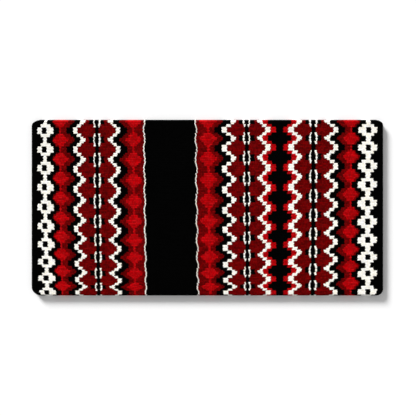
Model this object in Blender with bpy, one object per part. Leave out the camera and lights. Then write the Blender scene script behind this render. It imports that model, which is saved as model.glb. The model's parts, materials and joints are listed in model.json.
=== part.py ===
"""A weft-faced wool saddle blanket, folded once along the horse's spine.

Metres, +Z up. +X runs from the front end to the rear end, +Y runs up to the spine fold.
The blanket lies on the plane z = 0, with its near-side leaf on top of its off-side leaf.
The outer face of each leaf is its face weft, so the off leaf lies face down.
"""

import math
from typing import NamedTuple

import bmesh
import bpy
from mathutils import Vector

# The cloth as it lies folded
folded_drop = 0.4572
leaf_gap = 0.0005
piece_gap = 0.0003

# The three layers of one leaf
face_weft_thickness = 0.0026
warp_thickness = 0.0022
back_weft_thickness = 0.0026

# The finished ends and the long woven edges
front_hem_width = 0.0125
rear_hem_width = 0.0137
selvedge_width = 0.008
outer_edge_radius = 0.0033

# The stripes, from the front end to the rear end
front_chain_width = 0.0457
front_diamond_width = 0.0494
front_medallion_width = 0.1230
front_seat_diamond_width = 0.0590
front_wave_width = 0.0104
seat_width = 0.1210
rear_wave_width = 0.0117
rear_seat_diamond_width = 0.0611
rear_medallion_width = 0.1287
stepped_cherry_width = 0.0442
croup_medallion_width = 0.1314
rear_diamond_width = 0.0507
rear_chain_width = 0.0519

# The plan corners, each along X and along Y
front_fold_corner = (0.0220, 0.0130)
rear_fold_corner = (0.0260, 0.0150)
front_selvedge_corner = (0.0150, 0.0130)
rear_selvedge_corner = (0.0080, 0.0080)

# How far a cutter runs past what it cuts
overrun = 0.005

# Facets on each round
corner_steps = 8
edge_segments = 4
fold_steps = 16
smooth_angle = math.radians(40)


class Band(NamedTuple):
    """One woven stripe that runs from selvedge to selvedge over the spine."""

    name: str
    width: float
    yarn: str


bands = (
    Band("front_chain_band", front_chain_width, "chain_weft"),
    Band("front_diamond_band", front_diamond_width, "cherry_weft"),
    Band("front_medallion_band", front_medallion_width, "medallion_weft"),
    Band("front_seat_diamond_band", front_seat_diamond_width, "cherry_weft"),
    Band("front_wave_band", front_wave_width, "wave_weft"),
    Band("seat_band", seat_width, "seat_weft"),
    Band("rear_wave_band", rear_wave_width, "wave_weft"),
    Band("rear_seat_diamond_band", rear_seat_diamond_width, "cherry_weft"),
    Band("rear_medallion_band", rear_medallion_width, "medallion_weft"),
    Band("stepped_cherry_band", stepped_cherry_width, "stepped_weft"),
    Band("croup_medallion_band", croup_medallion_width, "medallion_weft"),
    Band("rear_diamond_band", rear_diamond_width, "cherry_weft"),
    Band("rear_chain_band", rear_chain_width, "chain_weft"),
)

# Each yarn's colour share in red, green and blue, then its roughness share
yarn_shares = {
    "chain_weft": (0.94, 0.93, 0.86, 0.90),
    "cherry_weft": (0.39, 0.003, 0.005, 0.86),
    "medallion_weft": (0.125, 0.001, 0.0015, 0.88),
    "wave_weft": (0.94, 0.93, 0.86, 0.90),
    "seat_weft": (0.003, 0.003, 0.003, 0.92),
    "stepped_weft": (0.30, 0.003, 0.005, 0.87),
    "back_weft": (0.045, 0.002, 0.003, 0.93),
    "warp_cord": (0.025, 0.023, 0.022, 0.84),
    "hem_binding": (0.004, 0.004, 0.004, 0.90),
    "selvedge_cord": (0.004, 0.004, 0.004, 0.82),
}

# Worked out from the driving dimensions
leaf_thickness = (
    face_weft_thickness + piece_gap + warp_thickness + piece_gap + back_weft_thickness
)
overall_length = front_hem_width + sum(b.width for b in bands) + rear_hem_width
front_x = -overall_length / 2
rear_x = overall_length / 2
weft_front_x = front_x + front_hem_width
weft_rear_x = rear_x - rear_hem_width
fold_inner_radius = leaf_gap / 2
fold_outer_radius = fold_inner_radius + leaf_thickness
fold_middle_radius = fold_inner_radius + leaf_thickness / 2
fold_y = folded_drop / 2 - fold_outer_radius
fold_z = fold_outer_radius
selvedge_y = -folded_drop / 2
weft_selvedge_y = selvedge_y + selvedge_width + piece_gap
leaf_end_y = fold_y - piece_gap

# The two axes of the bend: as far apart as the leaves' middles, and set out from the
# leaves so that the cloth's middle keeps its length from folded shut to laid open
hinge_y = fold_y + fold_middle_radius * (math.pi / 2 - 1)
lower_hinge = (0.0, hinge_y, fold_z - fold_middle_radius)
upper_hinge = (0.0, hinge_y, fold_z + fold_middle_radius)


def clear_scene():
    for obj in list(bpy.data.objects):
        bpy.data.objects.remove(obj, do_unlink=True)
    for mesh in list(bpy.data.meshes):
        bpy.data.meshes.remove(mesh)


def new_collection(name):
    collection = bpy.data.collections.new(name)
    bpy.context.scene.collection.children.link(collection)
    return collection


def yarn_material(name):
    """The Principled material of one yarn, made once and shared by its stripes."""
    found = bpy.data.materials.get(name)
    if found:
        return found
    red, green, blue, rough = yarn_shares[name]
    material = bpy.data.materials.new(name)
    material.use_nodes = True
    shader = material.node_tree.nodes["Principled BSDF"]
    shader.inputs["Base Color"].default_value = (red, green, blue, 1)
    shader.inputs["Roughness"].default_value = rough
    shader.inputs["Metallic"].default_value = 0
    material.diffuse_color = (red, green, blue, 1)
    return material


def put(obj, place, parent):
    """Stands obj at a place in the world, under parent if there is one."""
    place = Vector(place)
    obj.parent = parent
    while parent:
        place -= parent.location
        parent = parent.parent
    obj.location = place


def new_object(name, bm, place, yarn, collection, parent=None):
    """An object whose mesh is given about its own place, under parent if there is one."""
    bmesh.ops.recalc_face_normals(bm, faces=bm.faces)
    mesh = bpy.data.meshes.new(name)
    bm.to_mesh(mesh)
    bm.free()
    obj = bpy.data.objects.new(name, mesh)
    put(obj, place, parent)
    collection.objects.link(obj)
    if yarn:
        mesh.materials.append(yarn_material(yarn))
        mesh.shade_smooth()
        mesh.set_sharp_from_angle(angle=smooth_angle)
    return obj


def new_empty(name, place, collection, parent=None):
    empty = bpy.data.objects.new(name, None)
    put(empty, place, parent)
    collection.objects.link(empty)
    return empty


def box_mesh(size):
    bm = bmesh.new()
    bmesh.ops.create_cube(bm, size=1)
    bmesh.ops.scale(bm, vec=size, verts=bm.verts)
    return bm


def slab(name, low, high, yarn, collection, parent):
    """A plain layer of cloth between two corners."""
    size = [b - a for a, b in zip(low, high)]
    middle = [(a + b) / 2 for a, b in zip(low, high)]
    return new_object(name, box_mesh(size), middle, yarn, collection, parent)


def round_edges(bm, edges, radius):
    bmesh.ops.bevel(
        bm,
        geom=edges,
        offset=radius,
        offset_type="OFFSET",
        segments=edge_segments,
        profile=0.5,
        affect="EDGES",
        material=-1,
    )


def trim_to(obj, cutter):
    boolean = obj.modifiers.new("plan corner", "BOOLEAN")
    boolean.operation = "INTERSECT"
    boolean.solver = "EXACT"
    boolean.object = cutter


def selvedge(name, z_low, z_high, collection, parent, cutter):
    """The doubled edge cord, square where it meets the weft and rounded outside."""
    size = (
        overall_length - front_hem_width - rear_hem_width - 2 * piece_gap,
        selvedge_width,
        z_high - z_low,
    )
    bm = box_mesh(size)
    outer = [
        edge
        for edge in bm.edges
        if all(v.co.y < 0 for v in edge.verts)
        and edge.verts[0].co.z == edge.verts[1].co.z
    ]
    round_edges(bm, outer, outer_edge_radius)
    middle = (
        (weft_front_x + weft_rear_x) / 2,
        selvedge_y + selvedge_width / 2,
        (z_low + z_high) / 2,
    )
    cord = new_object(name, bm, middle, "selvedge_cord", collection, parent)
    trim_to(cord, cutter)


def corner_points(centre, radii, start):
    """A quarter ellipse about centre, from the angle start, anticlockwise."""
    points = []
    for step in range(corner_steps + 1):
        angle = start + math.pi / 2 * step / corner_steps
        x = centre[0] + radii[0] * math.cos(angle)
        y = centre[1] + radii[1] * math.sin(angle)
        points.append((x, y))
    return points


def plan_points():
    """The blanket's outline seen from above, anticlockwise from its rear fold corner."""
    top_y = folded_drop / 2
    corners = (
        (rear_x, top_y, rear_fold_corner, -1, -1, 0),
        (front_x, top_y, front_fold_corner, 1, -1, math.pi / 2),
        (front_x, selvedge_y, front_selvedge_corner, 1, 1, math.pi),
        (rear_x, selvedge_y, rear_selvedge_corner, -1, 1, -math.pi / 2),
    )
    points = []
    for x, y, radii, x_side, y_side, start in corners:
        centre = (x + x_side * radii[0], y + y_side * radii[1])
        points += corner_points(centre, radii, start)
    return points


def outline_mesh(points, half_height):
    """A closed prism over a flat outline, centred on z = 0."""
    curve = bpy.data.curves.new("outline", "CURVE")
    curve.dimensions = "2D"
    curve.fill_mode = "BOTH"
    curve.extrude = half_height
    spline = curve.splines.new("POLY")
    spline.points.add(len(points) - 1)
    for point, (x, y) in zip(spline.points, points):
        point.co = (x, y, 0, 1)
    spline.use_cyclic_u = True
    holder = bpy.data.objects.new("outline", curve)
    bpy.context.scene.collection.objects.link(holder)
    evaluated = holder.evaluated_get(bpy.context.evaluated_depsgraph_get())
    mesh = bpy.data.meshes.new_from_object(evaluated)
    bm = bmesh.new()
    bm.from_mesh(mesh)
    bmesh.ops.remove_doubles(bm, verts=bm.verts, dist=piece_gap / 10)
    bpy.data.objects.remove(holder)
    bpy.data.curves.remove(curve)
    bpy.data.meshes.remove(mesh)
    return bm


def hem(name, is_front, z_low, z_high, collection, parent, cutter):
    """The bound end of one leaf: full thickness, rounded outside, with its plan corner."""
    width = (front_hem_width if is_front else rear_hem_width) - piece_gap
    middle_x = front_x + width / 2 if is_front else rear_x - width / 2
    side = -1 if is_front else 1
    bm = box_mesh((width, leaf_end_y - selvedge_y, z_high - z_low))
    outer = [
        edge
        for edge in bm.edges
        if edge.verts[0].co.z == edge.verts[1].co.z
        and (
            all(v.co.x * side > 0 for v in edge.verts)
            or all(v.co.y < 0 for v in edge.verts)
        )
    ]
    round_edges(bm, outer, outer_edge_radius)
    middle = (middle_x, (selvedge_y + leaf_end_y) / 2, (z_low + z_high) / 2)
    binding = new_object(name, bm, middle, "hem_binding", collection, parent)
    trim_to(binding, cutter)


def leaf(side, z_low, face_up, collection, parent, cutter):
    """One leaf: its stripes, warp, back weft, two hems and selvedge."""
    layers = [
        ("back", back_weft_thickness),
        ("warp", warp_thickness),
        ("face", face_weft_thickness),
    ]
    if not face_up:
        layers.reverse()
    levels = {}
    z = z_low
    for layer, thickness in layers:
        levels[layer] = (z, z + thickness)
        z += thickness + piece_gap
    half = piece_gap / 2
    x = weft_front_x
    for band in bands:
        low = (x + half, weft_selvedge_y, levels["face"][0])
        high = (x + band.width - half, leaf_end_y, levels["face"][1])
        slab(f"{side}_{band.name}", low, high, band.yarn, collection, parent)
        x += band.width
    for layer, yarn in (("warp", "warp_cord"), ("back", "back_weft")):
        low = (weft_front_x + half, weft_selvedge_y, levels[layer][0])
        high = (weft_rear_x - half, leaf_end_y, levels[layer][1])
        slab(f"{side}_{yarn}", low, high, yarn, collection, parent)
    z_high = z_low + leaf_thickness
    hem(f"{side}_front_hem", True, z_low, z_high, collection, parent, cutter)
    hem(f"{side}_rear_hem", False, z_low, z_high, collection, parent, cutter)
    selvedge(f"{side}_selvedge", z_low, z_high, collection, parent, cutter)


def fold_piece(name, x_low, x_high, yarn, collection, parent, rounded=None):
    """A stretch of the spine fold: its section, in X and Z, turned half a turn."""
    size = (x_high - x_low, fold_outer_radius - fold_inner_radius)
    bm = bmesh.new()
    bmesh.ops.create_grid(bm, x_segments=1, y_segments=1, size=0.5)
    bmesh.ops.scale(bm, vec=(size[0], size[1], 1), verts=bm.verts)
    if rounded:
        side = -1 if rounded == "front" else 1
        ends = [v for v in bm.verts if v.co.x * side > 0]
        bmesh.ops.bevel(
            bm,
            geom=ends,
            offset=outer_edge_radius,
            offset_type="OFFSET",
            segments=edge_segments,
            profile=0.5,
            affect="VERTICES",
            material=-1,
        )
    bmesh.ops.delete(bm, geom=bm.faces[:], context="FACES_ONLY")
    for vert in bm.verts:
        radius = vert.co.y + fold_inner_radius + size[1] / 2
        vert.co = (vert.co.x, 0, radius)
    bmesh.ops.spin(
        bm,
        geom=bm.verts[:] + bm.edges[:],
        cent=(0, 0, 0),
        axis=(-1, 0, 0),
        angle=math.pi,
        steps=fold_steps,
        use_duplicate=False,
    )
    bmesh.ops.holes_fill(bm, edges=bm.edges, sides=0)
    middle = ((x_low + x_high) / 2, fold_y, fold_z)
    return new_object(name, bm, middle, yarn, collection, parent)


def fold(collection, parent, cutter):
    """Every stripe and hem where it turns over the spine."""
    half = piece_gap / 2
    x = weft_front_x
    for band in bands:
        piece = fold_piece(
            f"fold_{band.name}",
            x + half,
            x + band.width - half,
            band.yarn,
            collection,
            parent,
        )
        if band in (bands[0], bands[-1]):
            trim_to(piece, cutter)
        x += band.width
    front = fold_piece(
        "fold_front_hem",
        front_x,
        weft_front_x - piece_gap,
        "hem_binding",
        collection,
        parent,
        rounded="front",
    )
    rear = fold_piece(
        "fold_rear_hem",
        weft_rear_x + piece_gap,
        rear_x,
        "hem_binding",
        collection,
        parent,
        rounded="rear",
    )
    trim_to(front, cutter)
    trim_to(rear, cutter)


def main():
    clear_scene()
    parts = new_collection("saddle_blanket")
    cutters = new_collection("cutters")
    bm = outline_mesh(plan_points(), fold_outer_radius + overrun)
    cutter = new_object("plan_cutter", bm, (0, 0, fold_z), None, cutters)
    cutter.hide_render = True
    cutter.display_type = "WIRE"
    off_side = new_empty("off_side_leaf", (0, 0, 0), parts)
    spine = new_empty("spine_fold", lower_hinge, parts, off_side)
    near_side = new_empty("near_side_leaf", upper_hinge, parts, spine)
    leaf("off", 0, False, parts, off_side, cutter)
    leaf("near", leaf_thickness + leaf_gap, True, parts, near_side, cutter)
    fold(parts, spine, cutter)
    print(f"overall length {overall_length:.4f}, leaf thickness {leaf_thickness:.4f}")
    print(f"lower hinge {lower_hinge}, upper hinge {upper_hinge}")


if __name__ == "__main__":
    main()
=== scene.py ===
"""A weft-faced wool saddle blanket, folded once along the spine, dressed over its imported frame.

Metres, +Z up. +X runs from the front end to the rear end, +Y runs up to the spine fold.
Ribs are counted from the spine down to the selvedge of each leaf. Each rib covers one
warp cord, and each tick on it is one pick of weft passing over that cord.
"""

from __future__ import annotations

import json
import logging
import math
from dataclasses import dataclass, field
from enum import Enum

import bmesh
import bpy
import numpy as np
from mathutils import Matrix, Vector

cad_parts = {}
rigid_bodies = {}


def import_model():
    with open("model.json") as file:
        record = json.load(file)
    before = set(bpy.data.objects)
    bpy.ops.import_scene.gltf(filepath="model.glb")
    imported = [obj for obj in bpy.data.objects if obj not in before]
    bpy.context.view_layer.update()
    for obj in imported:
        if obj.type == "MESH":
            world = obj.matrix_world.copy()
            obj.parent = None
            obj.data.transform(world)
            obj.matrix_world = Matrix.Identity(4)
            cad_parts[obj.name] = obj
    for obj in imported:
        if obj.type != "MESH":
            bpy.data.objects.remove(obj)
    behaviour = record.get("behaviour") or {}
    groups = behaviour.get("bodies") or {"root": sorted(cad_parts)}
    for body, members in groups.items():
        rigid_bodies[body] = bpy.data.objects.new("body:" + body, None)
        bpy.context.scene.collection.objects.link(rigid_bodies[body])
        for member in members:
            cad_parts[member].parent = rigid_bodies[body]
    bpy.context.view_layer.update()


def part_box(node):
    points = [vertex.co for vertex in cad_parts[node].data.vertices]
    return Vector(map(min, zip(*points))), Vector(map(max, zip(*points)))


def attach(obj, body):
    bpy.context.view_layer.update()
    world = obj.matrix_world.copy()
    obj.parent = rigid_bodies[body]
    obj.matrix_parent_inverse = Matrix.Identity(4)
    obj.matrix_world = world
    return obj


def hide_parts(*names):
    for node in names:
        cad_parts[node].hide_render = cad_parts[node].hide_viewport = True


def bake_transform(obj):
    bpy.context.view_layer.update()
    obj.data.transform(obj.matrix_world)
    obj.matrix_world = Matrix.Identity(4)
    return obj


Array = np.ndarray
Socket = bpy.types.NodeSocket
Piece = bpy.types.Object
Mesh = bpy.types.Mesh
BMesh = bmesh.types.BMesh

log = logging.getLogger("saddle_blanket")

WEAVE_MAP = "weave"
# A repeat of the pattern in ribs, the rib of the near leaf after the turn, and the waist's row
REPEAT_RIBS, TURN_RIB, WAIST_ROW = 12, 2, 4
# Ticks between one stripe's start and the next one's in the weave map
MAP_STEP = 60
# Steps of the weave map in each metre of a bare warp cord, round it and along it
WARP_MAP = (400, 180)
WELD_DISTANCE = 1e-6
SHARP_ANGLE = math.radians(80)
# The middle part of a noise texture's range, where nearly all its values lie
NOISE_LOW, NOISE_HIGH = 0.3, 0.7
# Steps and spread of the usual sine hash
HASH_STEPS, HASH_SPREAD = (12.9898, 78.233, 37.719), 43758.5453


class Yarn(Enum):
    """The four dyed wools, each with its letter in a draft."""

    BLACK = "K"
    CREAM = "W"
    CHERRY = "R"
    GARNET = "D"


YARNS = tuple(Yarn)


class Side(Enum):
    """The two leaves of the folded cloth, each with its outward direction along Z."""

    NEAR = 1
    OFF = -1

    @property
    def label(self) -> str:
        """The leaf's word in node names."""
        return self.name.lower()

    @property
    def body(self) -> str:
        """The CAD body that the leaf rides on."""
        return f"{self.label}_side_leaf"

    @property
    def quarter(self) -> str:
        """The word for this side's quarter of the fold in node names."""
        return "upper" if self is Side.NEAR else "lower"


class End(Enum):
    """The two hemmed ends of the cloth, each with its direction along X."""

    FRONT = -1
    REAR = 1

    @property
    def label(self) -> str:
        """The end's word in node names."""
        return self.name.lower()


@dataclass
class NodeBench:
    """Lays out the nodes of one material."""

    tree: bpy.types.NodeTree

    def add(self, kind: str, **settings: object) -> bpy.types.Node:
        """Adds a node and sets its properties.

        Args:
            kind: the node's type, without ShaderNode.
            settings: properties of the node and their values.

        Returns:
            The new node.
        """
        node = self.tree.nodes.new("ShaderNode" + kind)
        for name, value in settings.items():
            setattr(node, name, value)
        return node

    def feed(self, socket: Socket, value: object) -> None:
        """Links a socket to another socket, or sets it to a plain value."""
        if isinstance(value, Socket):
            self.tree.links.new(value, socket)
        else:
            socket.default_value = value

    def settle(self, node: bpy.types.Node, values: dict[str, object]) -> bpy.types.Node:
        """Feeds a node's inputs by their names and hands the node back."""
        for name, value in values.items():
            self.feed(node.inputs[name], value)
        return node

    def result(self, kind: str, operation: str, *values: object) -> Socket:
        """The outcome of an operation node whose inputs are fed in their order.

        Args:
            kind: Math or VectorMath.
            operation: what it does.
            values: sockets or plain values.

        Returns:
            The first output.
        """
        node = self.add(kind, operation=operation)
        for socket, value in zip(node.inputs, values):
            self.feed(socket, value)
        return node.outputs[0]

    def maths(self, operation: str, *values: object) -> Socket:
        """The result of a Math node over sockets or numbers."""
        return self.result("Math", operation, *values)

    def product(self, *values: object) -> Socket:
        """Two values multiplied with each other."""
        return self.result("Math", "MULTIPLY", *values)

    def scaled(self, vector: Socket, sizes: tuple[float, float, float]) -> Socket:
        """A vector, each part times its own size."""
        return self.result("VectorMath", "MULTIPLY", vector, sizes)

    def floored(self, vector: Socket) -> Socket:
        """A vector's whole-number parts."""
        return self.result("VectorMath", "FLOOR", vector)

    def ranged(
        self, value: Socket, low: float, high: float, to_low: float, to_high: float
    ) -> Socket:
        """Carries a value from one range smoothly into another.

        Args:
            value: the socket that is read.
            low: the value that becomes to_low.
            high: the value that becomes to_high.
            to_low: the result at low and under it.
            to_high: the result at high and over it.

        Returns:
            The result's socket.
        """
        node = self.add("MapRange", interpolation_type="SMOOTHSTEP")
        for socket, given in zip(node.inputs, (value, low, high, to_low, to_high)):
            self.feed(socket, given)
        return node.outputs[0]


@dataclass(frozen=True)
class WoolFinish:
    """A dyed wool yarn, packed over the warp: fibre streaks, ply twist, a soft sheen and shade painted
    into the grooves between picks.
    """

    name: str
    colour: tuple[float, float, float]
    roughness: float
    specular: float
    sheen: float
    tone_spread: float = 0.10
    # Painted shade: the share of the colour left where ticks and ribs meet
    groove_shade: float = 0.45
    warmth_spread: float = 0.0
    fibre_depth: float = 0.0002
    fibre_stretch: tuple[float, float, float] = (9.0, 2.6, 1.0)
    fibre_tone: float = 0.14
    fibre_rough: float = 0.06
    ply_stretch: tuple[float, float, float] = (0.5, 1.1, 0.0)
    ply_height: float = 0.6
    stretch_of_rib: tuple[float, float, float] = (0.13, 1.37, 1.0)
    warmth_offset: tuple[float, float, float] = (17.0, 5.0, 0.0)
    # How far the painted groove shade reaches from a tick's edges and from a rib's edges, and how much
    # less it darkens between ticks
    groove_reach: tuple[float, float] = (0.14, 0.16)
    groove_ease: float = 0.25

    def material(self) -> bpy.types.Material:
        """The yarn's material, made once and shared by every piece that is woven from it.

        Returns:
            The material.
        """
        found = bpy.data.materials.get(self.name)
        if found:
            return found
        made = bpy.data.materials.new(self.name)
        made.use_nodes = True
        bench = NodeBench(made.node_tree)
        shader = made.node_tree.nodes["Principled BSDF"]
        weave = bench.add("UVMap", uv_map=WEAVE_MAP).outputs["UV"]
        fibre = self.fibres(bench, weave)
        streaks = self.spread(bench, fibre, 1.0, self.fibre_tone)
        # The tone is each tick's random tone times shade painted into the grooves, then times the fibre
        # streaks
        tone_with_painted_shade = bench.product(self.tick_tone(bench, weave), self.groove(bench, weave))
        tone_with_painted_shade = bench.product(tone_with_painted_shade, streaks)
        colour = (*self.colour, 1.0)
        dye_and_painted_shade = bench.settle(
            bench.add("HueSaturation"),
            {"Color": colour, "Value": tone_with_painted_shade, "Saturation": self.warmth(bench, weave)},
        )
        ply = bench.product(self.ply(bench, weave), self.ply_height)
        height = bench.maths("ADD", ply, fibre)
        relief = bench.settle(
            bench.add("Bump"), {"Strength": 0.6, "Distance": self.fibre_depth, "Height": height}
        )
        surface = {
            "Base Color": dye_and_painted_shade.outputs["Color"],
            "Roughness": self.spread(bench, fibre, self.roughness, -self.fibre_rough),
            "Normal": relief.outputs["Normal"],
            "Specular IOR Level": self.specular,
            "Sheen Weight": self.sheen,
            "Sheen Roughness": 0.45,
            "Sheen Tint": colour,
        }
        bench.settle(shader, surface)
        made.diffuse_color = colour
        return made

    @staticmethod
    def spread(
        bench: NodeBench, noise: Socket, middle: float, reach: float
    ) -> Socket:
        """A noise texture's value spread round a middle, further up where the noise is high."""
        return bench.ranged(noise, NOISE_LOW, NOISE_HIGH, middle - reach, middle + reach)

    def fibres(self, bench: NodeBench, weave: Socket) -> Socket:
        """Streaks of wool fibre along each pick, from 0 to 1."""
        vector = bench.scaled(weave, self.fibre_stretch)
        looks = {"Vector": vector, "Scale": 1.0, "Detail": 3.0, "Roughness": 0.62, "Distortion": 0.5}
        return bench.settle(bench.add("TexNoise"), looks).outputs[0]

    def ply(self, bench: NodeBench, weave: Socket) -> Socket:
        """The slanting grooves between the two plies of the yarn, from 0 to 1."""
        slant = bench.add("TexWave", wave_type="BANDS", bands_direction="DIAGONAL")
        vector = bench.scaled(weave, self.ply_stretch)
        bench.settle(slant, {"Vector": vector, "Scale": 1.0, "Distortion": 0.8})
        return slant.outputs["Fac"]

    def tick_tone(self, bench: NodeBench, weave: Socket) -> Socket:
        """How light each tick, and each stretch of a rib, came out of the dyeing, about 1."""
        tick = bench.add("TexWhiteNoise", noise_dimensions="2D")
        step = bench.floored(weave)
        bench.feed(tick.inputs["Vector"], step)
        vector = bench.scaled(step, self.stretch_of_rib)
        looks = {"Vector": vector, "Scale": 1.0, "Detail": 1.0}
        stretch = bench.settle(bench.add("TexNoise"), looks).outputs[0]
        spread = self.tone_spread
        each = bench.ranged(tick.outputs["Value"], 0.0, 1.0, 1 - spread, 1 + spread)
        along = self.spread(bench, stretch, 1.0, spread)
        return bench.product(each, along)

    def warmth(self, bench: NodeBench, weave: Socket) -> Socket:
        """How strong the yarn's colour is from tick to tick, about 1."""
        chance = bench.add("TexWhiteNoise", noise_dimensions="2D")
        shifted = bench.result("VectorMath", "ADD", weave, self.warmth_offset)
        bench.feed(chance.inputs["Vector"], bench.floored(shifted))
        spread = self.warmth_spread
        return bench.ranged(chance.outputs["Value"], 0.0, 1.0, 1 - spread, 1 + spread)

    def groove(self, bench: NodeBench, weave: Socket) -> Socket:
        """The shade painted where neighbouring picks press together, 1 on the crown of a tick."""
        parts = bench.add("SeparateXYZ")
        bench.feed(parts.inputs[0], weave)
        across = bench.maths("PINGPONG", parts.outputs[0], 0.5)
        along = bench.maths("PINGPONG", parts.outputs[1], 0.5)
        shade, (over, down) = self.groove_shade, self.groove_reach
        across = bench.ranged(across, 0.0, over, shade + self.groove_ease, 1.0)
        along = bench.ranged(along, 0.0, down, shade, 1.0)
        return bench.product(across, along)


# For cream wool the seventh value is its painted groove shade, the share of colour left where picks meet
FINISHES: dict[Yarn, WoolFinish] = {
    Yarn.BLACK: WoolFinish("black_wool", (0.0006, 0.0006, 0.0006), 0.88, 0.01, 0.0, 0.25),
    Yarn.CREAM: WoolFinish(
        "cream_wool", (0.985, 0.96, 0.885), 0.86, 0.16, 0.06, 0.06, 0.70, warmth_spread=0.7
    ),
    Yarn.CHERRY: WoolFinish(
        "cherry_wool", (0.46, 0.0016, 0.0034), 0.84, 0.02, 0.08, 0.20, warmth_spread=0.006
    ),
    Yarn.GARNET: WoolFinish(
        "garnet_wool", (0.146, 0.0005, 0.0009), 0.86, 0.02, 0.06, 0.28, warmth_spread=0.010
    ),
}
BINDING = WoolFinish("black_binding", (0.0006, 0.0006, 0.0006), 0.84, 0.01, 0.0)
# The warp cord's seventh value is its painted groove shade
WARP = WoolFinish("warp_cord_ply", (0.025, 0.023, 0.022), 0.84, 0.10, 0.02, 0.05, 0.8)


@dataclass(frozen=True)
class Draft:
    """The weaver's draft of one stripe, for half a repeat of twelve ribs.

    Each row is a row of runs, a yarn's letter and a number of picks, read from the front end
    to the rear. The pattern turns over the first rib. The next three have the shoulder, the
    step and the neck, and the last two the waist, at which the repeat is mirrored.
    """

    turn: str
    shoulder: str
    step: str
    neck: str
    waist: str

    def rows(self) -> Array:
        """The yarn of every pick in each row.

        Returns:
            Indices into YARNS, one row each from turn to waist.
        """
        rows = []
        for row in (self.turn, self.shoulder, self.step, self.neck, self.waist):
            picks: list[int] = []
            for run in row.split():
                picks += [YARNS.index(Yarn(run[0]))] * int(run[1:])
            rows.append(picks)
        return np.array(rows)

    @staticmethod
    def row_of(rib: Array) -> Array:
        """The draft's row on ribs counted from the crease: 0 for the turn, up to the waist."""
        place = (np.asarray(rib) - TURN_RIB) % REPEAT_RIBS
        return np.minimum(np.minimum(place, REPEAT_RIBS - 1 - place), WAIST_ROW)


@dataclass(frozen=True)
class Stripe:
    """One stripe of the blanket, from selvedge to selvedge over the spine."""

    name: str
    slot: str
    draft: Draft

    @property
    def ticks(self) -> int:
        """Ticks across the stripe: two picks make one on each rib."""
        return self.draft.rows().shape[1] // 2


STRIPES = (
    Stripe("front_chain_band", "chain_weft", Draft(
        "K15 W7 K12 D2", "K15 W7 K14", "K10 W19 K7", "K10 W20 K6", "K3 W9 K10 W14",
    )),
    Stripe("front_diamond_band", "cherry_weft", Draft(
        "R30 D8", "D3 R22 D13", "K4 D1 R17 D12 K4", "K5 D5 R10 D13 K5", "K12 R3 D11 K12",
    )),
    Stripe("front_medallion_band", "medallion_weft", Draft(
        "D4 K12 W10 D7 K9 W2 K9 W3 K7 D8 W10 K13", "D1 K14 W7 D10 K10 W2 K9 W3 K8 D12 W5 K13",
        "K9 W8 D26 W3 K6 W3 D25 W8 K6", "K9 W8 D26 W3 K6 W3 D27 W7 K5", "K2 W8 D35 K8 D34 W7",
    )),
    Stripe("front_seat_diamond_band", "cherry_weft", Draft(
        "D12 R32 D2", "K5 D12 R25 D4", "K8 D11 R18 D9", "K11 D11 R13 D11", "W1 K15 D10 R4 D16",
    )),
    Stripe("front_wave_band", "wave_weft", Draft(
        "D4 W2 K2", "D4 W2 K2", "D3 W2 K3", "D3 W2 K3", "D2 W2 K4",
    )),
    Stripe("seat_band", "seat_weft", Draft(*["K94"] * 5)),
    Stripe("rear_wave_band", "wave_weft", Draft(
        "K5 W2 D3", "K5 W2 D3", "K6 W2 D2", "K6 W2 D2", "K8 W2",
    )),
    Stripe("rear_seat_diamond_band", "cherry_weft", Draft(
        "D5 R35 D8", "D8 R27 D13", "D13 R19 D12 K4", "D14 R16 D12 K6", "D20 R5 D10 K13",
    )),
    Stripe("rear_medallion_band", "medallion_weft", Draft(
        "D4 K16 W10 D6 K8 W3 K9 W2 K9 D6 W10 R11 K6",
        "D1 K19 W6 D10 K8 W3 K9 W2 K10 D10 W6 R10 K6", "K11 W9 D26 W3 K5 W3 D26 W8 R9",
        "K11 W9 D26 W2 K6 W3 D26 W8 R9", "K2 W10 D36 K8 D33 W10 R1",
    )),
    Stripe("stepped_cherry_band", "stepped_weft", Draft(
        "K34", "K34", "R1 K32 R1", "R2 K31 R1", "R10 K15 R9",
    )),
    Stripe("croup_medallion_band", "medallion_weft", Draft(
        "K7 R11 W10 D7 K8 W3 K10 W3 K8 D6 W11 K14 D4", "K7 R9 W9 D10 K8 W3 K10 W3 K8 D11 W7 K17",
        "R9 W10 D25 W3 K7 W4 D25 W10 K9", "R9 W10 D26 W2 K7 W4 D26 W9 K9",
        "R1 W11 D35 K9 D35 W9 K2",
    )),
    Stripe("rear_diamond_band", "cherry_weft", Draft(
        "D9 R30 D1", "D12 R23 D5", "K4 D11 R17 D3 K5", "K6 D11 R14 D3 K6", "K12 D11 R3 K13 W1",
    )),
    Stripe("rear_chain_band", "chain_weft", Draft(
        "D2 K12 W10 K16", "K14 W9 K17", "K6 W24 K10", "K6 W24 K10", "W14 K10 W13 K3",
    )),
)


@dataclass(frozen=True)
class Corner:
    """A rounded plan corner: how far it runs along X and along Y."""

    end: End
    at_spine: bool
    along_x: float
    along_y: float


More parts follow.
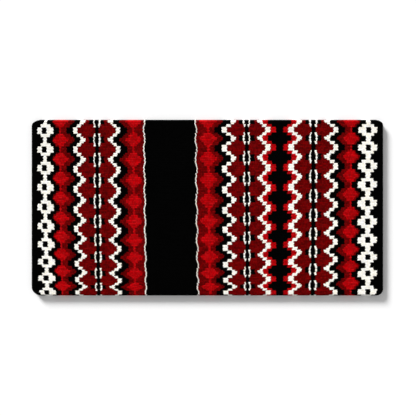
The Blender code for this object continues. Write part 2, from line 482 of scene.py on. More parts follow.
@dataclass
class ClothPlan:
    """Where ribs and picks lie on the folded cloth. The outer sizes come from the frame."""

    ribs: int = 119
    spine_ribs: int = 3
    edge_ribs: int = 3
    warp_radius: float = 0.00105
    warp_points: int = 13
    tick_shift: float = 0.00065
    corners: tuple[Corner, ...] = (
        Corner(End.FRONT, True, 0.0245, 0.0170),
        Corner(End.REAR, True, 0.0195, 0.0145),
        Corner(End.FRONT, False, 0.0255, 0.0225),
        Corner(End.REAR, False, 0.0175, 0.0170),
    )
    corner_reach: float = 0.045
    # How far below even spacing five turns of the pattern lie, as read on the photograph at seven places
    # along X. The ribs are counted from the crease.
    turn_ribs: tuple[int, ...] = (14, 38, 62, 86, 110)
    beaten: tuple[tuple[float, tuple[float, ...]], ...] = (
        (-0.420, (0.0025, 0.0055, 0.0135, 0.0145, 0.0055)),
        (-0.290, (0.0015, 0.0135, 0.0265, 0.0250, 0.0095)),
        (-0.195, (0.0010, 0.0135, 0.0260, 0.0265, 0.0095)),
        (0.005, (-0.0010, 0.0120, 0.0250, 0.0250, 0.0095)),
        (0.100, (-0.0030, 0.0095, 0.0205, 0.0215, 0.0080)),
        (0.275, (-0.0035, 0.0025, 0.0100, 0.0115, 0.0055)),
        (0.420, (-0.0015, -0.0005, 0.0025, 0.0035, -0.0030)),
    )
    # How far the picks lean along X at the spine and at the selvedge, read in the same way,
    # and none at the ends of the cloth
    lean: tuple[tuple[float, float, float], ...] = (
        (-0.4572, 0.0, 0.0),
        (-0.420, -0.0010, 0.0060),
        (-0.290, -0.0015, 0.0035),
        (-0.195, -0.0020, 0.0030),
        (0.005, -0.0025, 0.0035),
        (0.100, -0.0010, 0.0015),
        (0.275, 0.0, -0.0020),
        (0.420, 0.0030, 0.0010),
        (0.4572, 0.0, 0.0),
    )
    # The rib where no pick leans, the ribs on to the full lean, and how much faster and
    # further the lean grows towards the spine
    lean_middle: int = 56
    lean_ribs: int = 60
    lean_haste: float = 1.25
    lean_most: float = 1.08
    # The ripple's depth, its margin along the ends, and how fast it fades at ends and sides
    ripple_depth: float = 0.00012
    ripple_margin: float = 0.02
    ripple_fade: tuple[float, float] = (0.05, 0.03)
    edges: list[float] = field(default_factory=list)
    columns: list[Array] = field(default_factory=list)

    def __post_init__(self) -> None:
        """Reads the outline, the fold and the stripes' edges from the frame."""
        fold_low, fold_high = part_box("fold_seat_band")
        self.fold_y, self.half_drop = fold_low.y, fold_high.y
        self.fold_z = (fold_low.z + fold_high.z) / 2
        leaf_low, leaf_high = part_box("near_front_hem")
        self.half_thick = (leaf_high.z - leaf_low.z) / 2
        self.middle_radius = (leaf_low.z + leaf_high.z) / 2 - self.fold_z
        self.half_length = -leaf_low.x
        cord_low, cord_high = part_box("near_selvedge")
        self.selvedge_y = cord_low.y
        self.weft_end_y = cord_high.y
        names = ["front_hem", *(stripe.name for stripe in STRIPES), "rear_hem"]
        boxes = [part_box(f"near_{name}") for name in names]
        self.edges = [(a[1].x + b[0].x) / 2 for a, b in zip(boxes, boxes[1:])]
        for stripe, low, high in zip(STRIPES, self.edges, self.edges[1:]):
            self.columns.append(np.linspace(low, high, 2 * stripe.ticks + 1))

    @property
    def last_rib(self) -> int:
        """The rib at which the flat weft ends and the selvedge begins."""
        return self.ribs - self.edge_ribs

    def all_columns(self, step: int = 1) -> Array:
        """Where the columns of all stripes lie along X, or every second one of each."""
        ends = [self.columns[-1][-1:]]
        return np.concatenate([columns[:-1:step] for columns in self.columns] + ends)

    def rib_y(self, rib: Array, x: Array) -> Array:
        """How far along Y a place between two ribs lies on a leaf.

        Args:
            rib: the place, counted in ribs from the spine.
            x: where along the cloth.

        Returns:
            Y, from the spine fold down to the start of the selvedge.
        """
        rib = np.clip(rib, self.spine_ribs, self.last_rib)
        knots = np.array((self.spine_ribs, *self.turn_ribs, self.last_rib), float)
        places = [place for place, _ in self.beaten]
        levels = np.array([(0.0, *readings, 0.0) for _, readings in self.beaten])
        slopes = np.gradient(levels, knots, axis=1)
        share = (rib - self.spine_ribs) / (self.last_rib - self.spine_ribs)
        y = self.fold_y - (self.fold_y - self.weft_end_y) * share
        for knot, tent, level, slope in zip(knots, np.eye(len(knots)), levels.T, slopes.T):
            near = np.interp(rib, knots, tent)
            rise = (3 - 2 * near) * np.interp(x, places, level)
            y = y - near**2 * (rise + (rib - knot) * np.interp(x, places, slope))
        return y

    def lean_x(self, rib: Array, x: Array) -> Array:
        """How far along X a pick has leaned at a rib.

        Args:
            rib: the place, counted in ribs from the spine.
            x: where the pick lies at the middle of the leaf.

        Returns:
            The shift along X.
        """
        stations = np.array(self.lean)
        at_spine = np.interp(x, stations[:, 0], stations[:, 1])
        at_edge = np.interp(x, stations[:, 0], stations[:, 2])
        place = (rib - self.lean_middle) / self.lean_ribs
        above = np.clip(-place * self.lean_haste, 0, self.lean_most)
        return at_spine * above + at_edge * np.clip(place, 0, 1)

    def ease(self, x: Array, y: Array) -> Array:
        """Draws the ends in where the plan corners are rounded.

        Args:
            x: places along the cloth.
            y: how far along Y each place lies.

        Returns:
            The eased X.
        """
        eased = np.array(np.broadcast_arrays(x, y)[0], float)
        for corner in self.corners:
            past = (y if corner.at_spine else -y) - (self.half_drop - corner.along_y)
            share = np.clip(past / corner.along_y, 0, 1)
            inset = corner.along_x * (1 - np.sqrt(1 - share**2))
            from_end = self.half_length - corner.end.value * x
            hold = np.clip(1 - from_end / self.corner_reach, 0, 1)
            eased -= corner.end.value * inset * hold
        return eased

    def ripple(self, x: Array, y: Array) -> Array:
        """The slight unevenness of the thick cloth, none at its edges.

        Args:
            x: places along the cloth.
            y: places up the cloth.

        Returns:
            How far each place has sunk, in metres.
        """
        wave = np.sin(x * 21 + 1.3 * np.sin(y * 17)) + np.sin(y * 33 + x * 9 + 0.7)
        by_end, by_side = self.ripple_fade
        hem = np.clip((self.half_length - self.ripple_margin - np.abs(x)) / by_end, 0, 1)
        low = np.clip((y - self.weft_end_y) / by_side, 0, 1)
        high = np.clip((self.fold_y - y) / by_side, 0, 1)
        return self.ripple_depth * (wave + 2) * hem * low * high


def unit_noise(*keys: Array) -> Array:
    """A steady pseudo-random number from 0 to 1 for whole-number keys of any shape."""
    mixed = sum(np.asarray(key, float) * step for key, step in zip(keys, HASH_STEPS))
    return np.modf(np.abs(np.sin(mixed) * HASH_SPREAD))[0]


@dataclass
class WovenGrid:
    """A grid of points over woven cloth, made by bmesh and then laid in place."""

    name: str
    ticks: Array
    ribs: Array

    def mesh(self, points: Array, yarns: Array | None, facing: Vector) -> Mesh:
        """The laid mesh, with its weave map and the yarn of each face.

        Args:
            points: where each grid point lies, by row and column.
            yarns: indices into YARNS for each face, by row and column, or None.
            facing: roughly where the surface faces.

        Returns:
            A mesh with one material for each yarn on it.
        """
        columns, rows = len(self.ticks) - 1, len(self.ribs) - 1
        bm = bmesh.new()
        bmesh.ops.create_grid(bm, x_segments=columns, y_segments=rows, size=1)
        made = bpy.data.meshes.new(self.name)
        bm.to_mesh(made)
        bm.free()
        flat = np.empty(len(made.vertices) * 3, np.float32)
        made.vertices.foreach_get("co", flat)
        place = (flat.reshape(-1, 3)[:, :2] + 1) / 2 * (columns, rows)
        column, row = np.rint(place).astype(int).T
        made.vertices.foreach_set("co", points[row, column].astype(np.float32).ravel())
        corner = np.empty(len(made.loops), np.int32)
        made.loops.foreach_get("vertex_index", corner)
        weave = np.stack([self.ticks[column[corner]], self.ribs[row[corner]]], axis=1)
        layer = made.uv_layers.new(name=WEAVE_MAP)
        layer.uv.foreach_set("vector", weave.astype(np.float32).ravel())
        if yarns is not None:
            face_column = column[corner].reshape(-1, 4).min(axis=1)
            face_row = row[corner].reshape(-1, 4).min(axis=1)
            self.dress(made, yarns[face_row, face_column])
        made.update()
        normals = np.empty(len(made.polygons) * 3, np.float32)
        made.polygons.foreach_get("normal", normals)
        if normals.reshape(-1, 3).sum(axis=0) @ np.array(facing) < 0:
            made.flip_normals()
        return made

    @staticmethod
    def dress(made: Mesh, yarns: Array) -> None:
        """Gives each face its yarn's material.

        Args:
            made: the mesh.
            yarns: indices into YARNS, one for each face.
        """
        used = np.unique(yarns)
        for index in used:
            made.materials.append(FINISHES[YARNS[index]].material())
        made.polygons.foreach_set("material_index", np.searchsorted(used, yarns).astype(np.int32))


def backed(made: Mesh, level: float) -> None:
    """Gives an open woven face its edges and a flat back, so that it is a closed body.

    Args:
        made: the open mesh.
        level: the Z of its back.
    """
    bm = bmesh.new()
    bm.from_mesh(made)
    rim = [edge for edge in bm.edges if edge.is_boundary]
    wall = bmesh.ops.extrude_edge_only(bm, edges=rim)["geom"]
    for vert in (item for item in wall if isinstance(item, bmesh.types.BMVert)):
        vert.co.z = level
    foot = [item for item in wall if isinstance(item, bmesh.types.BMEdge) and item.is_boundary]
    bmesh.ops.holes_fill(bm, edges=foot, sides=0)
    bmesh.ops.recalc_face_normals(bm, faces=bm.faces)
    bm.to_mesh(made)
    bm.free()


def closed_tube(made: Mesh) -> None:
    """Welds a rolled grid along its seam, fills its open ends and faces it outwards."""
    bm = bmesh.new()
    bm.from_mesh(made)
    bmesh.ops.remove_doubles(bm, verts=bm.verts, dist=WELD_DISTANCE)
    bmesh.ops.holes_fill(bm, edges=[edge for edge in bm.edges if edge.is_boundary], sides=0)
    bmesh.ops.recalc_face_normals(bm, faces=bm.faces)
    bm.to_mesh(made)
    bm.free()


def shown(made: Mesh, slot: str, *nodes: str) -> Piece:
    """A smooth piece from a finished mesh, standing for CAD nodes.

    Args:
        made: the mesh, in place.
        slot: the record's material slot; not used.
        nodes: the CAD nodes that the piece replaces.

    Returns:
        The piece, riding on nothing yet.
    """
    made.shade_smooth()
    made.set_sharp_from_angle(angle=SHARP_ANGLE)
    piece = bpy.data.objects.new(made.name, made)
    bpy.context.scene.collection.objects.link(piece)
    if nodes:
        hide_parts(*nodes)
    log.info("made %s: %d faces", made.name, len(made.polygons))
    return piece


@dataclass
class Relief:
    """How far the cloth's surface sinks between ribs and between ticks."""

    rib_depth: float = 0.00075
    tick_depth: float = 0.00030
    crown_play: float = 0.00006
    back_share: float = 0.7
    crown_power: float = 0.5
    crown_gain: float = 1.15
    phases: tuple[float, ...] = (0.0, 0.27, 0.73)

    def rows(self, first: int, last: int) -> Array:
        """Rib coordinates of the rows of points, from one rib's edge to another's."""
        ribs = np.arange(first, last)[:, None] + np.array(self.phases)
        return np.append(ribs.ravel(), last)

    def bulge(self, rib: Array) -> Array:
        """The rise of a rib at a rib coordinate, from 0 at its edges to 1 on its crown."""
        phase = np.asarray(rib) % 1
        return np.clip(np.sin(np.pi * phase) ** self.crown_power * self.crown_gain, 0, 1)

    def sink(self, rib: Array, column: Array, key: int) -> Array:
        """How far the surface lies under the crowns.

        Args:
            rib: rib coordinates, by row.
            column: half ticks, counted from a stripe's edge.
            key: a number that sets one leaf's play apart from another's.

        Returns:
            Metres under the crowns.
        """
        rise = self.bulge(rib)
        edge = (column % 2 == 0).astype(float)
        play = unit_noise(np.floor(rib), column // 2, key) * self.crown_play
        return self.rib_depth * (1 - rise) + (self.tick_depth * edge + play) * rise


RELIEF = Relief()


@dataclass(frozen=True)
class Roll:
    """The rounded edge of a leaf seen in section: flat, round the edge, and flat again."""

    width: float
    radius: float
    half_thick: float

    def at(self, path: Array) -> tuple[Array, Array, Array]:
        """Follows the section from its flat outer face to its flat back.

        Args:
            path: from 0 at the outer face's inner end to 1 at the back's inner end.

        Returns:
            How far in from the edge, the height over the leaf's middle as a share of half
            its thickness, and the angle of the outward direction over the plane.
        """
        flat = self.width - self.radius
        arc = math.pi / 2 * (self.radius + self.half_thick) / 2
        run = np.asarray(path) * 2 * (flat + arc)
        angle = np.clip(math.pi / 2 * (1 - (run - flat) / arc), -math.pi / 2, math.pi / 2)
        inset = self.radius * (1 - np.cos(angle))
        inset = inset + np.maximum(0, flat - run) + np.maximum(0, run - flat - 2 * arc)
        return inset, np.sin(angle), angle


@dataclass
class Leaf:
    """One leaf of the blanket: thirteen stripes, the back weft, the warp, two hems, a selvedge."""

    plan: ClothPlan
    side: Side
    face_share: float = 0.325
    edge_radius: float = 0.0045
    edge_phases: tuple[float, ...] = (0.25, 0.5, 0.75)

    def __post_init__(self) -> None:
        """Settles the leaf's middle plane and its edge sections."""
        plan = self.plan
        self.middle_z = plan.fold_z + self.side.value * plan.middle_radius
        self.edge_roll = Roll(
            plan.weft_end_y - plan.selvedge_y, self.edge_radius, plan.half_thick
        )
        self.hem_rows = RELIEF.rows(plan.spine_ribs, plan.last_rib)

    @property
    def flat_size(self) -> float:
        """The length of a stripe on this leaf, from the spine fold to the selvedge."""
        return self.plan.fold_y - self.plan.weft_end_y

    def counted(self, rib: Array) -> Array:
        """A rib's number as the near leaf counts them, which is below 0 on the off leaf."""
        whole = np.floor(rib).astype(int)
        return whole if self.side is Side.NEAR else -1 - whole

    def parity(self, rib: Array) -> Array:
        """1 on the ribs whose ticks come from the second shed, and 0 on the others."""
        return self.counted(rib) % 2

    def placed(self, x: Array, y: Array, height: Array) -> Array:
        """Points on the leaf, from X, Y and the height over its middle towards its face."""
        z = self.middle_z + self.side.value * height
        return np.stack(np.broadcast_arrays(x, y, z), axis=-1)

    def laid(self, x: Array, rib: Array, height: Array) -> Array:
        """Points of the flat weft, with the ribs beaten down and the picks leaning."""
        y = self.plan.rib_y(rib, x)
        leaned = x + self.plan.lean_x(rib, x)
        return self.placed(self.plan.ease(leaned, y), y, height)

    def shift(self, rib: Array) -> Array:
        """How far along X the ticks of a rib stand from the middle of their two picks."""
        inside = (rib % 1 > 0).astype(float)
        return (self.parity(rib) * 2 - 1) * self.plan.tick_shift * inside

    def back_shift(self, rib: Array) -> Array:
        """The same for the back of the leaf, where the other shed shows."""
        return (1 - self.parity(rib) * 2) * self.plan.tick_shift * (1 - np.abs(rib % 1 * 2 - 1))

    def yarns(self, stripe: Stripe, ribs: Array) -> Array:
        """The yarn of every half tick on the outer face.

        Args:
            stripe: the stripe.
            ribs: the rib of each row of faces.

        Returns:
            Indices into YARNS, by row and by half tick.
        """
        pick = 2 * (np.arange(2 * stripe.ticks) // 2)
        row = Draft.row_of(self.counted(ribs))
        return stripe.draft.rows()[row[:, None], pick + self.parity(ribs)[:, None]]

    def back_columns(self) -> Array:
        """Where each whole tick of the back begins along X, and where the last one ends."""
        return self.plan.all_columns(2)

    def back_yarns(self, rows: Array) -> Array:
        """The yarn of every whole tick on the back, which shows the rows that the face hides.

        Args:
            rows: rib coordinates of the rows of points.

        Returns:
            Indices into YARNS, by row of faces and by tick.
        """
        ribs = np.floor(rows[:-1]).astype(int)
        row = WAIST_ROW - Draft.row_of(self.counted(ribs))[:, None]
        shed = 1 - self.parity(ribs)[:, None]
        return np.concatenate(
            [stripe.draft.rows()[row, 2 * np.arange(stripe.ticks) + shed] for stripe in STRIPES],
            axis=1,
        )

    def worn(self, made: Mesh, slot: str, node: str) -> Piece:
        """A finished piece of the leaf in place of its CAD node, riding on the leaf's body."""
        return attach(shown(made, slot, f"{self.side.label}_{node}"), self.side.body)

    def build_stripe(self, index: int) -> Piece:
        """One stripe of the outer face, a closed strip of packed picks.

        Args:
            index: the stripe's place in STRIPES.

        Returns:
            The piece.
        """
        plan, stripe = self.plan, STRIPES[index]
        rows = self.hem_rows[:, None]
        x = plan.columns[index][None, :] + self.shift(rows)
        column = np.arange(x.shape[1])[None, :]
        sink = RELIEF.sink(rows, column, self.side.value + 2)
        sink = sink + plan.ripple(x, plan.rib_y(rows, x))
        grid = WovenGrid(
            f"{self.side.label}_{stripe.name}_weave",
            np.arange(x.shape[1]) / 2 + MAP_STEP * index,
            self.hem_rows,
        )
        ribs = np.floor(self.hem_rows[:-1]).astype(int)
        facing = Vector((0, 0, self.side.value))
        points = self.laid(x, rows, plan.half_thick - sink)
        made = grid.mesh(points, self.yarns(stripe, ribs), facing)
        inner = plan.half_thick * (1 - 2 * self.face_share)
        backed(made, self.middle_z + self.side.value * inner)
        piece = self.worn(made, stripe.slot, stripe.name)
        return piece

    def build_back(self, on_it: list[Piece]) -> Piece:
        """The back weft, on whose ribs the pattern shows its other rows.

        Args:
            on_it: the leaf's warp, selvedge and hems; not used.

        Returns:
            The piece.
        """
        plan = self.plan
        rows = np.arange(2 * plan.spine_ribs, 2 * plan.last_rib + 1) / 2
        x = self.back_columns()
        yarns = self.back_yarns(rows)
        spread = x[None, :] + self.back_shift(rows[:, None])
        sink = RELIEF.rib_depth * RELIEF.back_share * (1 - RELIEF.bulge(rows[:, None]))
        points = self.laid(spread, rows[:, None], sink - plan.half_thick)
        grid = WovenGrid(f"{self.side.label}_back_weft_weave", np.arange(len(x)) + 0.0, rows)
        made = grid.mesh(points, yarns, Vector((0, 0, -self.side.value)))
        inner = plan.half_thick * (2 * self.face_share - 1)
        backed(made, self.middle_z + self.side.value * inner)
        piece = self.worn(made, "back_weft", "back_weft")
        return piece

    def build_warp(self) -> Piece:
        """The warp cords, one under each rib, from hem to hem."""
        plan = self.plan
        bm = bmesh.new()
        stations = np.linspace(plan.edges[0], plan.edges[-1], plan.warp_points)
        for rib in range(plan.spine_ribs, plan.last_rib):
            y = plan.rib_y(np.full(plan.warp_points, rib + 0.5), stations)
            cord_along(bm, self.placed(stations, y, 0.0), plan.warp_radius)
        piece = cord_piece(bm, f"{self.side.label}_warp_cords")
        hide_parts(f"{self.side.label}_warp_cord")
        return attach(piece, self.side.body)

    def edge_rows(self) -> tuple[Array, Array]:
        """The rows round the selvedge: their rib coordinates and their places on its section."""
        top = RELIEF.rows(0, self.plan.edge_ribs)
        side = self.plan.edge_ribs + np.array(self.edge_phases)
        half = 2 * self.plan.edge_ribs + 1
        rows = np.concatenate([top, side, half - top[::-1]])
        return rows, rows / half

    def rolled(self, rows: Array, path: Array) -> tuple[Array, Array, Array]:
        """The selvedge's section: Y, Y without the ribs, and height as a share of half the leaf."""
        inset, height, angle = self.edge_roll.at(path)
        sink = RELIEF.rib_depth * (1 - RELIEF.bulge(rows))
        smooth = self.plan.selvedge_y + inset
        height = height - sink / self.plan.half_thick * np.sin(angle)
        return smooth + sink * np.cos(angle), smooth, height

    def build_selvedge(self) -> Piece:
        """The doubled edge cords with the weft turned round them."""
        plan = self.plan
        rows, path = self.edge_rows()
        ribs = plan.last_rib + np.minimum(np.floor(rows), 2 * plan.edge_ribs - np.floor(rows))
        y, smooth, height = self.rolled(rows, path)
        x = plan.all_columns()
        column = np.arange(len(x))
        parity = self.parity(ribs)[:, None]
        inside = (rows % 1 > 0)[:, None]
        to_back = np.where(rows > plan.edge_ribs + 0.5, -1, 1)[:, None]
        spread = x[None, :] + (parity * 2 - 1) * plan.tick_shift * inside * to_back
        dent = RELIEF.tick_depth * (column % 2 == 0)[None, :] * inside
        spread = spread + plan.lean_x(float(plan.last_rib), spread)
        lift = (plan.half_thick - dent) * height[:, None]
        points = self.placed(plan.ease(spread, smooth[:, None]), y[:, None], lift)
        points = np.concatenate([points, points[:1]])
        yarns = np.concatenate(
            [self.yarns(stripe, ribs[:-1].astype(int)) for stripe in STRIPES], axis=1
        )
        yarns = np.concatenate([yarns, yarns[:1]])
        coordinates = np.append(plan.last_rib + rows, plan.last_rib + rows[-1] + 1)
        grid = WovenGrid(f"{self.side.label}_selvedge_cord", column / 2, coordinates)
        made = grid.mesh(points, yarns, Vector((0, 0, self.side.value)))
        closed_tube(made)
        return self.worn(made, "selvedge_cord", "selvedge")

    def build_hem(self, end: End) -> Piece:
        """The bound end: black picks turned round the ends of the warp.

        Args:
            end: which end of the cloth.

        Returns:
            The piece.
        """
        plan = self.plan
        section = HemSection(plan, end)
        inset, height, ticks = section.profile()
        rows, path = self.edge_rows()
        down = rows <= plan.edge_ribs + 0.5
        edge_y, edge_smooth, edge_height = self.rolled(rows[down], path[down])
        all_rows = np.concatenate([self.hem_rows, plan.last_rib + rows[down][1:]])[:, None]
        flat = len(self.hem_rows)
        x = np.broadcast_to(section.x_of(inset), (len(all_rows), len(inset)))
        y = plan.rib_y(all_rows, x)
        smooth = y.copy()
        y[flat:] = edge_y[1:, None]
        smooth[flat:] = edge_smooth[1:, None]
        share = np.ones(len(all_rows))
        share[flat:] = edge_height[1:]
        sink = section.sink(all_rows, np.arange(len(inset)))
        x = x - end.value * sink * np.cos(section.angles())
        seam = np.where(section.angles() > 0, self.shift(all_rows), self.back_shift(all_rows))
        leaned = seam + plan.lean_x(all_rows, section.inner_x + seam)
        x = x + leaned * section.nearness(inset)
        lift = (plan.half_thick - sink) * height * share[:, None]
        points = self.placed(plan.ease(x, smooth), y, lift)
        grid = WovenGrid(f"{self.side.label}_{end.label}_hem_binding", ticks, all_rows[:, 0])
        made = grid.mesh(points, None, Vector((0, 0, self.side.value)))
        made.materials.append(BINDING.material())
        closed_tube(made)
        return self.worn(made, "hem_binding", f"{end.label}_hem")

    def build(self) -> None:
        """Builds every piece of the leaf."""
        for index in range(len(STRIPES)):
            self.build_stripe(index)
        hems = [self.build_hem(end) for end in End]
        self.build_back([self.build_warp(), self.build_selvedge(), *hems])


@dataclass
class HemSection:
    """The section of a bound end, from its inner top edge round to its inner bottom edge."""

    plan: ClothPlan
    end: End
    radius: float = 0.0045
    flat_columns: int = 5
    round_columns: int = 8

    @property
    def inner_x(self) -> float:
        """Where the hem meets the first or last stripe."""
        return self.plan.edges[0 if self.end is End.FRONT else -1]

    @property
    def width(self) -> float:
        """The hem's width along X."""
        return self.plan.half_length - abs(self.inner_x)

    def x_of(self, inset: Array) -> Array:
        """X at a distance in from the end."""
        return self.end.value * (self.plan.half_length - inset)

    def angles(self) -> Array:
        """The outward direction over the plane for each column, ending as it began."""
        quarter = math.pi / 2
        turn = np.linspace(quarter, -quarter, self.round_columns + 1)
        flat = np.full(self.flat_columns, quarter)
        return np.concatenate([flat, turn, -flat, flat[:1]])

    def nearness(self, inset: Array) -> Array:
        """1 where the hem meets the weft, falling to 0 at the end of the cloth."""
        return np.clip(inset / self.width, 0, 1)

    def profile(self) -> tuple[Array, Array, Array]:
        """The section's columns.

        Returns:
            How far in from the end, the height as a share of half the thickness, and the
            tick coordinate of each column.
        """
        flat = np.linspace(self.width, self.radius, self.flat_columns + 1)[:-1]
        angles = self.angles()
        start, stop = self.flat_columns, self.flat_columns + self.round_columns + 1
        inset = self.radius * (1 - np.cos(angles))
        inset[:start] = flat
        inset[stop:-1] = flat[::-1]
        inset[-1] = flat[0]
        return inset, np.sin(angles), np.arange(len(inset)) / 2

    def sink(self, rib: Array, column: Array) -> Array:
        """How far the binding lies under its crowns, by row and column."""
        rise = RELIEF.bulge(rib)
        dent = RELIEF.tick_depth * (column % 2 == 0)
        return RELIEF.rib_depth * (1 - rise) + dent * rise


def cord_along(bm: BMesh, path: Array, radius: float) -> None:
    """Adds a slim six-sided cord along a path that runs mostly along X.

    Args:
        bm: the mesh that the cord joins.
        path: the points of its middle line.
        radius: its radius.
    """
    sides = 6
    grid = bmesh.ops.create_grid(bm, x_segments=len(path) - 1, y_segments=sides, size=1)
    for vert in grid["verts"]:
        place = path[round((vert.co.x + 1) / 2 * (len(path) - 1))]
        turn = math.pi * (vert.co.y + 1)
        vert.co = (
            place[0],
            place[1] + radius * math.cos(turn),
            place[2] + radius * math.sin(turn),
        )
    bmesh.ops.remove_doubles(bm, verts=grid["verts"], dist=WELD_DISTANCE)


def cord_piece(bm: BMesh, name: str) -> Piece:
    """A piece of plied warp cords with closed ends, from a mesh that holds them.

    Args:
        bm: the mesh, which is freed.
        name: the piece's name.

    Returns:
        The piece, riding on nothing yet.
    """
    bmesh.ops.holes_fill(bm, edges=[edge for edge in bm.edges if edge.is_boundary], sides=0)
    bmesh.ops.recalc_face_normals(bm, faces=bm.faces)
    layer = bm.loops.layers.uv.new(WEAVE_MAP)
    for face in bm.faces:
        for loop in face.loops:
            loop[layer].uv = (loop.vert.co.y * WARP_MAP[0], loop.vert.co.x * WARP_MAP[1])
    made = bpy.data.meshes.new(name)
    bm.to_mesh(made)
    bm.free()
    made.materials.append(WARP.material())
    return shown(made, "warp_cord")


@dataclass
class SpineFold:
    """The cloth over the spine: three ribs above the crease and three below it."""

    plan: ClothPlan
    rows_per_rib: int = 4
    crown_swell: float = 0.00025
    # What keeps the last row on its rib, and how soon the ticks stand apart on a crown
    row_margin: float = 0.01
    seam_gain: float = 1.5

    def bent(self, x: Array, angle: Array, height: Array) -> Array:
        """Points of the fold, from X, the angle over the crease and the height over the middle."""
        plan = self.plan
        reach = plan.middle_radius + height
        y = plan.fold_y + reach * np.cos(angle)
        z = plan.fold_z + reach * np.sin(angle)
        smooth = plan.fold_y + (plan.middle_radius + plan.half_thick) * np.cos(angle)
        return np.stack(np.broadcast_arrays(plan.ease(x, smooth), y, z), axis=-1)

    def seam_shift(self, leaf: Leaf) -> Array:
        """How far along X the ticks of each row stand from the middle of their two picks."""
        rows = self.rows()
        rib = np.minimum(rows, self.plan.spine_ribs - self.row_margin)
        inside = np.minimum(1, self.seam_gain * RELIEF.bulge(rows))
        return ((leaf.parity(rib) * 2 - 1) * self.plan.tick_shift * inside)[:, None]

    def rows(self) -> Array:
        """Rib coordinates from the crease to the leaf."""
        return np.linspace(0, self.plan.spine_ribs, self.plan.spine_ribs * self.rows_per_rib + 1)

    def angle(self, side: Side) -> Array:
        """The angle of each row over the crease, a quarter turn at the leaf."""
        return side.value * self.rows() / self.plan.spine_ribs * math.pi / 2

    def blend(self, piece: Piece) -> None:
        """Bakes the transform of a quarter of the fold, between the spine and the leaf on its side, into
        its mesh.

        Args:
            piece: the finished piece.
        """
        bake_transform(piece)

    def build_stripe(
        self, leaf: Leaf, index: int, on_it: list[Piece]
    ) -> Piece:
        """A stripe's quarter of the fold's outer skin.

        Args:
            leaf: the leaf that it runs into.
            index: the stripe's place in STRIPES.
            on_it: the pieces of this quarter that are too narrow to be sheets of their own; not used.

        Returns:
            The piece.
        """
        plan, stripe, side = self.plan, STRIPES[index], leaf.side
        rows = self.rows()
        rise = RELIEF.bulge(rows)[:, None]
        x = plan.columns[index] + self.seam_shift(leaf)
        x = x + plan.lean_x(float(plan.spine_ribs), x)
        column = np.arange(x.shape[1])[None, :]
        sink = RELIEF.sink(rows[:, None], column, side.value + 5) - self.crown_swell * rise
        points = self.bent(x, self.angle(side)[:, None], plan.half_thick - sink)
        ribs = np.floor(rows[:-1]).astype(int)
        grid = WovenGrid(
            f"fold_{stripe.name}_{side.quarter}_weave", np.arange(x.shape[1]) / 2 + MAP_STEP * index, rows
        )
        made = grid.mesh(points, leaf.yarns(stripe, ribs), Vector((0, 1, side.value)))
        piece = shown(made, stripe.slot, f"fold_{stripe.name}")
        self.blend(piece)
        return piece

    def build_lining(self, leaf: Leaf) -> Piece:
        """The back weft inside the fold, a quarter of it, from hem to hem."""
        plan, side = self.plan, leaf.side
        rows = self.rows()
        x = leaf.back_columns()[None, :] + leaf.back_shift(rows[:, None])
        x = x + plan.lean_x(float(plan.spine_ribs), x)
        depth = RELIEF.rib_depth * RELIEF.back_share - plan.half_thick
        points = self.bent(x, self.angle(side)[:, None], depth)
        grid = WovenGrid(f"fold_back_weft_{side.quarter}", np.arange(x.shape[1]) + 0.0, rows)
        made = grid.mesh(points, leaf.back_yarns(rows), Vector((0, -1, -side.value)))
        piece = shown(made, "back_weft")
        self.blend(piece)
        return piece

    def build_hem(self, leaf: Leaf, end: End, is_outer: bool) -> Piece:
        """A quarter of the bound end over the spine.

        Args:
            leaf: the leaf that it runs into.
            end: which end of the cloth.
            is_outer: the outer half of the section, or the half by the lining.

        Returns:
            The piece.
        """
        plan, side = self.plan, leaf.side
        section = HemSection(plan, end)
        inset, height, ticks = section.profile()
        middle = section.flat_columns + section.round_columns // 2
        chosen = slice(0, middle + 1) if is_outer else slice(middle, len(inset) - 1)
        rows = self.rows()
        sink = section.sink(rows[:, None], np.arange(len(inset))[None, :])
        sink = sink - self.crown_swell * RELIEF.bulge(rows)[:, None]
        x = section.x_of(inset) - end.value * np.maximum(0, sink) * np.cos(section.angles())
        seam = self.seam_shift(leaf) if is_outer else 0.0
        leaned = seam + plan.lean_x(float(plan.spine_ribs), section.inner_x + seam)
        x = x + leaned * section.nearness(inset)
        lift = (plan.half_thick - sink) * height
        points = self.bent(x, self.angle(side)[:, None], lift)[:, chosen]
        layer = "binding" if is_outer else "lining"
        name = f"fold_{end.label}_hem_{side.quarter}_{layer}"
        grid = WovenGrid(name, ticks[chosen], rows)
        sign = 1 if is_outer else -1
        made = grid.mesh(points, None, Vector((end.value, sign, side.value * sign)))
        made.materials.append(BINDING.material())
        nodes = (f"fold_{end.label}_hem",) if is_outer else ()
        piece = shown(made, "hem_binding", *nodes)
        self.blend(piece)
        return piece

    def build_warp(self) -> Piece:
        """The six warp cords that run through the fold."""
        plan = self.plan
        bm = bmesh.new()
        stations = np.linspace(plan.edges[0], plan.edges[-1], plan.warp_points)
        for side in Side:
            for rib in range(plan.spine_ribs):
                turn = side.value * (rib + 0.5) / plan.spine_ribs * math.pi / 2
                cord_along(bm, self.bent(stations, np.array(turn), 0.0), plan.warp_radius)
        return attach(cord_piece(bm, "fold_warp_cords"), "spine_fold")

    def build(self, leaves: dict[Side, Leaf]) -> None:
        """Builds every piece of the fold, which joins the two leaves."""
        for leaf in leaves.values():
            narrow = [self.build_lining(leaf)]
            for end in End:
                narrow.append(self.build_hem(leaf, end, is_outer=True))
                narrow.append(self.build_hem(leaf, end, is_outer=False))
            for index, stripe in enumerate(STRIPES):
                self.build_stripe(leaf, index, narrow if stripe.name == "seat_band" else [])
        self.build_warp()


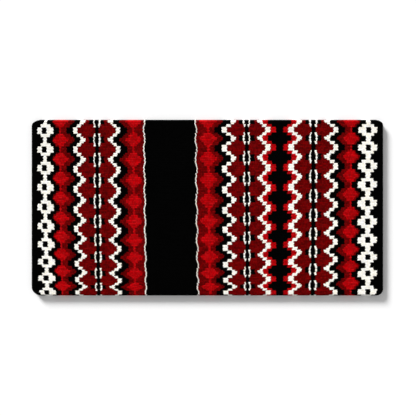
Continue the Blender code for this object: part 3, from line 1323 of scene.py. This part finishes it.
@dataclass(frozen=True)
class Studio:
    """A white floor, one soft lamp from the upper left and an overhead camera."""

    camera_at: tuple[float, float, float] = (0.0016, -0.0011, 2.5675)
    lens: float = 85.0
    key_power: float = 4.64
    key_from: tuple[float, float, float] = (-0.62, 0.82, 0.49)
    key_angle: float = math.radians(20)
    fill: float = 0.40
    floor_colour: tuple[float, float, float] = (0.98, 0.98, 0.98)
    floor_glow: float = 0.025
    floor_radius: float = 14.0
    floor_sides: int = 64
    floor_drop: float = 0.0003
    sensor: float = 36.0

    def build_floor(self) -> None:
        """The pale floor under the blanket."""
        bm = bmesh.new()
        bmesh.ops.create_circle(bm, cap_ends=True, segments=self.floor_sides, radius=self.floor_radius)
        mesh = bpy.data.meshes.new("studio_floor")
        bmesh.ops.translate(bm, verts=bm.verts, vec=(0, 0, -self.floor_drop))
        bm.to_mesh(mesh)
        bm.free()
        floor = bpy.data.objects.new("studio_floor", mesh)
        bpy.context.scene.collection.objects.link(floor)
        paint = bpy.data.materials.new("studio_white")
        paint.use_nodes = True
        bench = NodeBench(paint.node_tree)
        seen = bench.product(self.seen_share(bench), self.floor_glow)
        looks = {
            "Base Color": (*self.floor_colour, 1.0),
            "Roughness": 0.9,
            "Specular IOR Level": 0.0,
            "Emission Color": (1.0, 1.0, 1.0, 1.0),
            "Emission Strength": seen,
        }
        bench.settle(paint.node_tree.nodes["Principled BSDF"], looks)
        mesh.materials.append(paint)

    def seen_share(self, bench: NodeBench) -> Socket:
        """1 for rays that the camera sees directly, in a mirror or through glass."""
        path = bench.add("LightPath").outputs
        seen = bench.maths("MAXIMUM", path["Is Camera Ray"], path["Is Glossy Ray"])
        return bench.maths("MAXIMUM", seen, path["Is Transmission Ray"])

    def build_world(self) -> None:
        """An even fill, and white behind everything."""
        world = bpy.data.worlds.new("studio")
        world.use_nodes = True
        bench = NodeBench(world.node_tree)
        sky = world.node_tree.nodes["Background"]
        sky.inputs["Color"].default_value = (1.0, 1.0, 1.0, 1.0)
        lift = bench.product(self.seen_share(bench), 1 - self.fill)
        bench.feed(sky.inputs["Strength"], bench.maths("ADD", lift, self.fill))
        bpy.context.scene.world = world

    def build_lamp(self) -> None:
        """The soft key lamp."""
        lamp = bpy.data.lights.new("key", "SUN")
        lamp.energy = self.key_power
        lamp.angle = self.key_angle
        holder = bpy.data.objects.new("key", lamp)
        holder.rotation_euler = Vector(self.key_from).to_track_quat("Z", "Y").to_euler()
        bpy.context.scene.collection.objects.link(holder)

    def build_camera(self) -> None:
        """The overhead camera, level with the blanket's sides."""
        camera = bpy.data.cameras.new("overhead")
        camera.lens = self.lens
        camera.sensor_width = self.sensor
        holder = bpy.data.objects.new("overhead", camera)
        holder.location = self.camera_at
        bpy.context.scene.collection.objects.link(holder)
        bpy.context.scene.camera = holder

    def build(self) -> None:
        """Builds the whole studio."""
        self.build_camera()
        self.build_lamp()
        self.build_world()
        self.build_floor()
        bpy.context.scene.view_settings.view_transform = "Standard"


def main() -> None:
    """Builds the studio and the blanket."""
    logging.basicConfig(level=logging.INFO, format="%(name)s: %(message)s")
    for stray in list(bpy.data.objects):
        bpy.data.objects.remove(stray)
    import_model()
    Studio().build()
    plan = ClothPlan()
    leaves = {side: Leaf(plan, side) for side in Side}
    for leaf in leaves.values():
        leaf.build()
        log.info("leaf done: %s", leaf.side.label)
    SpineFold(plan).build(leaves)
    bpy.context.view_layer.update()


if __name__ == "__main__":
    main()
